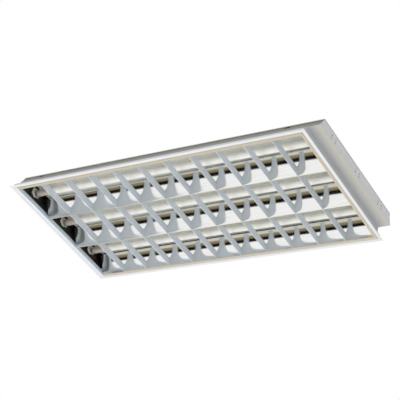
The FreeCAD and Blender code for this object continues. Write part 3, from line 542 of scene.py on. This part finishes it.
SIDE_FOOT = 0.5 * MM
SIDE_SPAN = 46.0 * MM
SIDE_LIP = 11.5 * MM
HINGE_X = 430.0 * MM
NOTCH_REACH = 9.9 * MM
UPTURNS = {"side_reflector_near": 8.0 * MM, "side_reflector_far": 3.0 * MM}


def notch_spans():
    """Stretches of the far lip whose edge is cut away round the hinge brackets."""
    return [(x - NOTCH_REACH, x + NOTCH_REACH) for x in (-HINGE_X, HINGE_X)]


def make_side_reflectors():
    for node, upturn in UPTURNS.items():
        bottom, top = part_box(node)
        outer = max(abs(bottom.y), abs(top.y))
        side = 1 if top.y > 0 else -1
        ridge = outer - SIDE_LIP
        stops = [(x, upturn) for x in lengths(bottom.x, top.x, LENGTH_STEPS)]
        if side > 0:
            for start, end in notch_spans():
                stops = [stop for stop in stops if not start <= stop[0] <= end]
                stops += [(x, rise) for x in (start, end) for rise in (upturn, REFLECTOR_SHEET)]
            stops = order_steps(stops)
        rings = []
        for x, rise in stops:
            wing = wing_outline(SIDE_FOOT, SIDE_SPAN, SIDE_ANGLES, side_twist(node, x))
            edge = [(REFLECTOR_SHEET - SIDE_LIP, REFLECTOR_SHEET), (REFLECTOR_SHEET - SIDE_LIP, rise),
                    (-SIDE_LIP, rise), (-SIDE_LIP, 0.0)]
            rings.append([Vector((x, (ridge - run) * side, TRIM_FACE + h)) for run, h in wing + edge])
        Builder().loft(rings).piece(f"{node}_rolled", node, [node])


def order_steps(stops):
    """Puts the two rings of each step in the order in which the sheet meets them."""
    ordered = []
    raised = True
    for x in sorted({stop[0] for stop in stops}):
        here = [stop for stop in stops if stop[0] == x]
        if len(here) > 1:
            here.sort(key=lambda stop: stop[1], reverse=raised)
            raised = not raised
        ordered += here
    return ordered


# ---------------------------------------------------------------- cross blades

BLADE_TOP = 27.0 * MM
HALVING = 13.4 * MM
HALVING_HALF = 6.0 * MM
HEM_HEIGHT = 3.0 * MM
HEM_HALF = 0.8 * MM
PLATE_HALF = 0.3 * MM
BLADE_GAP = 0.1 * MM


def below(points, height):
    """The part of a rising line that lies under a height, cut exactly there."""
    made = []
    for here, after in zip(points, points[1:]):
        made.append(here)
        if after[1] >= height:
            share = (height - here[1]) / (after[1] - here[1])
            made.append((here[0] + (after[0] - here[0]) * share, height))
            return made
    return made


def blade_outline(x):
    """Outline of one blade at x: it fills each channel between the wings and dips under the V ridges."""
    v_face = below(wing_face(RIDGE_HALF, v_span(), V_ANGLES, v_twist(x)), BLADE_TOP)
    v_face = [point for point in v_face if point[1] > HALVING]
    ridges = [(low(node).y + high(node).y) / 2 for node in ("v_reflector_1", "v_reflector_2")]
    far = high("side_reflector_far").y - SIDE_LIP
    side_face = {}
    for node in UPTURNS:
        face = wing_face(SIDE_FOOT, SIDE_SPAN, SIDE_ANGLES, side_twist(node, x))
        side_face[node] = below(face, BLADE_TOP)
    line = [(far - run - BLADE_GAP, h) for run, h in side_face["side_reflector_far"]]
    for ridge in reversed(ridges):
        line += [(ridge + run + BLADE_GAP, h) for run, h in reversed(v_face)]
        line += [(ridge + HALVING_HALF, HALVING), (ridge - HALVING_HALF, HALVING)]
        line += [(ridge - run - BLADE_GAP, h) for run, h in v_face]
    line += [(-far + run + BLADE_GAP, h) for run, h in reversed(side_face["side_reflector_near"])]
    return line


def make_blades():
    hem = rounded([(-HEM_HALF, 0), (HEM_HALF, 0), (HEM_HALF, HEM_HEIGHT), (-HEM_HALF, HEM_HEIGHT)],
                  HEM_HALF)
    for node in sorted(node for node in NODES if node.startswith("cross_blade_")):
        x = (low(node).x + high(node).x) / 2
        outline = blade_outline(x)
        builder = Builder()
        builder.loft([[Vector((x + PLATE_HALF * side, y, TRIM_FACE + max(h, HEM_HEIGHT / 2)))
                       for y, h in outline] for side in (-1, 1)])
        ends = (outline[-1][0], outline[0][0])
        builder.loft([[Vector((x + p.x, y, TRIM_FACE + p.y)) for p in hem] for y in ends])
        builder.piece(f"{node}_pressed", node, [node])


# ---------------------------------------------------------------- lamps

# distances along and radii, in mm
CAP_PROFILE = [(0.0, 10.6), (0.1, 11.9), (0.6, 12.5), (1.3, 12.7), (6.3, 12.7), (6.7, 12.4), (7.1, 12.7),
               (8.3, 12.75), (8.7, 12.95), (9.0, 12.6)]
GLASS_END = [(0.0, 12.0), (0.4, 12.7), (1.4, 12.95), (3.0, 13.0)]


def make_lamps():
    for number in (1, 2, 3):
        tube = f"lamp_{number}_tube"
        caps = f"lamp_{number}_caps"
        bottom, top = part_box(tube)
        y = (bottom.y + top.y) / 2
        z = (bottom.z + top.z) / 2
        length = (top.x - bottom.x) / MM
        profile = GLASS_END + [(length - along, radius) for along, radius in reversed(GLASS_END)]
        glass = Builder()
        lathe_x(glass, profile, 1, bottom.x, y, z)
        glass.piece(f"lamp_{number}_glass", tube, [tube])
        pair = Builder()
        for sign, start in ((1, low(caps).x), (-1, high(caps).x)):
            lathe_x(pair, CAP_PROFILE, sign, start, y, z)
        pair.piece(f"lamp_{number}_ends", caps, [caps])


# ---------------------------------------------------------------- rivets of the right end

RIVET_ROWS = (-175.0 * MM, 0.0, 175.0 * MM)
RIVET_HEIGHTS = (-27.0 * MM, -17.0 * MM)
RIVET_STEP = 26.0 * MM
RIVET_PROFILE = [(-0.4, 2.1), (0.0, 2.2), (0.3, 2.0), (0.55, 1.4), (0.7, 0.5)]


def make_rivets():
    """Low rivet heads, which stay below the rim that the tray folds over the end plate."""
    heads = Builder()
    face = high("end_plate_right").x
    for middle in RIVET_ROWS:
        for side in (-1, 1):
            for z in RIVET_HEIGHTS:
                lathe_x(heads, RIVET_PROFILE, 1, face, middle + side * RIVET_STEP / 2, z, around=16)
    # painted shade: the rivet heads are dark to match the shaded dots on the end plate
    dark = Shader("rivets_painted_shade", (0.25, 0.25, 0.26), 0.45)
    dark.mottle((0.2, 0.2, 0.21), 300.0).uneven(0.08, 400.0).relief(0.2, 900.0, 0.00004)
    heads.piece("end_rivets", "gear_screws").data.materials[0] = dark.material


# ---------------------------------------------------------------- studio

FLOOR_HEIGHT = -2.75
FLOOR_HALF = 7.0
DIFFUSE_BELOW = 1.08
DIFFUSE_ABOVE = 0.32
DIFFUSE_REACH = 0.6
KEY_PLACE = Vector((-0.6, -2.6, -2.2))
KEY_AIM = Vector((0, 0, -0.04))
KEY_SIZE = (2.4, 1.8)
KEY_POWER = 22.0
# what the mirrors see round the long axis: degrees from -Y, through down and +Y, back over the top
ROOM_STOPS = ((0.0, (1.0, 1.0, 1.0)), (38.0, (1.0, 1.0, 1.0)), (41.0, (0.05, 0.05, 0.05)),
              (50.5, (0.06, 0.055, 0.05)), (53.0, (0.5, 0.46, 0.36)), (61.0, (0.58, 0.54, 0.44)),
              (64.5, (0.86, 0.85, 0.8)), (72.0, (0.8, 0.79, 0.74)), (86.0, (0.6, 0.59, 0.55)),
              (118.0, (0.62, 0.6, 0.54)), (126.0, (0.84, 0.79, 0.69)), (150.0, (0.9, 0.86, 0.78)),
              (180.0, (1.0, 1.0, 0.99)), (200.0, (0.75, 0.75, 0.72)), (250.0, (0.4, 0.4, 0.36)),
              (320.0, (0.34, 0.34, 0.29)), (350.0, (0.5, 0.5, 0.47)), (360.0, (0.95, 0.95, 0.95)))
ROOM_TURN = 360.0


def link_world(tree):
    """Camera rays see white, glossy rays the ramp above, and the others a soft light from below."""
    nodes = tree.nodes
    links = tree.links
    direction = nodes.new("ShaderNodeTexCoord").outputs["Generated"]
    split = nodes.new("ShaderNodeSeparateXYZ")
    links.new(direction, split.inputs[0])
    turn = nodes.new("ShaderNodeMath")
    turn.operation = "ARCTAN2"
    links.new(split.outputs["Z"], turn.inputs[0])
    links.new(split.outputs["Y"], turn.inputs[1])
    place = nodes.new("ShaderNodeMapRange")
    place.inputs["From Min"].default_value = -math.pi
    place.inputs["From Max"].default_value = math.pi
    links.new(turn.outputs[0], place.inputs["Value"])
    ramp = nodes.new("ShaderNodeValToRGB")
    ramp.color_ramp.interpolation = "LINEAR"
    stops = ramp.color_ramp.elements
    while len(stops) < len(ROOM_STOPS):
        stops.new(0.5)
    for stop, (angle, _) in zip(stops, ROOM_STOPS):
        stop.position = angle / ROOM_TURN
    for stop, (_, colour) in zip(stops, ROOM_STOPS):
        stop.color = linear(colour)
    links.new(place.outputs["Result"], ramp.inputs[0])
    soft = nodes.new("ShaderNodeMapRange")
    soft.inputs["From Min"].default_value = -DIFFUSE_REACH
    soft.inputs["From Max"].default_value = DIFFUSE_REACH
    soft.inputs["To Min"].default_value = DIFFUSE_BELOW
    soft.inputs["To Max"].default_value = DIFFUSE_ABOVE
    links.new(split.outputs["Z"], soft.inputs["Value"])
    path = nodes.new("ShaderNodeLightPath")
    glossy = nodes.new("ShaderNodeMix")
    glossy.data_type = "RGBA"
    links.new(path.outputs["Is Glossy Ray"], glossy.inputs["Factor"])
    links.new(soft.outputs["Result"], glossy.inputs[6])
    links.new(ramp.outputs["Color"], glossy.inputs[7])
    seen = nodes.new("ShaderNodeMix")
    seen.data_type = "RGBA"
    links.new(path.outputs["Is Camera Ray"], seen.inputs["Factor"])
    links.new(glossy.outputs[2], seen.inputs[6])
    seen.inputs[7].default_value = (1.0, 1.0, 1.0, 1.0)
    links.new(seen.outputs[2], nodes["Background"].inputs["Color"])


def add_key():
    key = bpy.data.lights.new("key", "AREA")
    key.shape = "RECTANGLE"
    key.size, key.size_y = KEY_SIZE
    key.energy = KEY_POWER
    lamp = bpy.data.objects.new("key", key)
    lamp.visible_glossy = False
    turn = (KEY_PLACE - KEY_AIM).to_track_quat("Z", "Y").to_matrix().to_4x4()
    lamp.matrix_world = Matrix.Translation(KEY_PLACE) @ turn
    bpy.context.scene.collection.objects.link(lamp)


def floor_material():
    """Pale floor that is seen only from above."""
    shader = Shader("floor_paint", (0.95, 0.95, 0.945), 0.7)
    shader.mottle((0.93, 0.93, 0.925), 1.5).relief(0.1, 60.0, 0.0005).set(Emission_Strength=0.5)
    tree = shader.tree
    tree.links.new(shader.mixed, shader.surface.inputs["Emission Color"])
    clear = tree.nodes.new("ShaderNodeBsdfTransparent")
    pick = tree.nodes.new("ShaderNodeMixShader")
    tree.links.new(tree.nodes.new("ShaderNodeNewGeometry").outputs["Backfacing"], pick.inputs["Fac"])
    tree.links.new(shader.surface.outputs["BSDF"], pick.inputs[1])
    tree.links.new(clear.outputs["BSDF"], pick.inputs[2])
    tree.links.new(pick.outputs["Shader"], tree.nodes["Material Output"].inputs["Surface"])
    return shader.material


def add_floor():
    mesh = bpy.data.meshes.new("floor")
    corners = [(x * FLOOR_HALF, y * FLOOR_HALF, FLOOR_HEIGHT) for x, y in CORNERS]
    mesh.from_pydata(corners, [], [(0, 1, 2, 3)])
    floor = bpy.data.objects.new("floor", mesh)
    mesh.materials.append(floor_material())
    floor.visible_glossy = False
    floor.visible_diffuse = False
    bpy.context.scene.collection.objects.link(floor)


def make_studio():
    scene = bpy.context.scene
    scene.view_settings.view_transform = "Standard"
    world = bpy.data.worlds.new("studio")
    world.use_nodes = True
    scene.world = world
    link_world(world.node_tree)
    add_key()
    add_floor()


add_camera()
dress_cad_nodes()
dress_ends()
dress_walls()
dress_tray()
dress(MATERIALS["mirror_aluminium"], "louvre_end_right")
make_trim()
make_v_reflectors()
make_side_reflectors()
make_blades()
make_lamps()
make_rivets()
make_studio()
